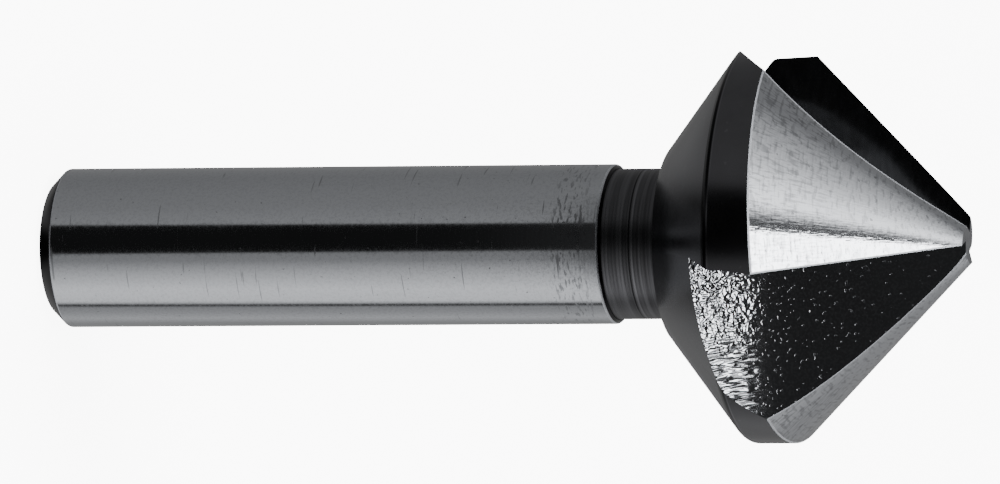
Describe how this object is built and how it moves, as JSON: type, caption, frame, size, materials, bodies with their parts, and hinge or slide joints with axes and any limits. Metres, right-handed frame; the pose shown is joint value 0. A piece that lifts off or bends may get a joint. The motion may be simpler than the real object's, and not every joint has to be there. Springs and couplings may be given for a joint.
{
  "type": "countersink bit",
  "caption": "Straight-shank countersink: a fluted conical cutting head on a short neck, for 90 degree screw seats.",
  "frame": {"origin": "centre of the shank's end face", "axes": "+Z along the tool's axis from the shank's end to the tip; the first cutting edge lies on the +X side of the XZ plane"},
  "size_m": [0.03, 0.0299, 0.071],
  "materials": {
    "countersink_bit": "bare high speed steel, cylindrically ground shank, relief-ground flanks, dark turned neck and back cone"
  },
  "bodies": {
    "root": {"countersink_bit": "countersink_bit"}
  },
  "joints": []
}
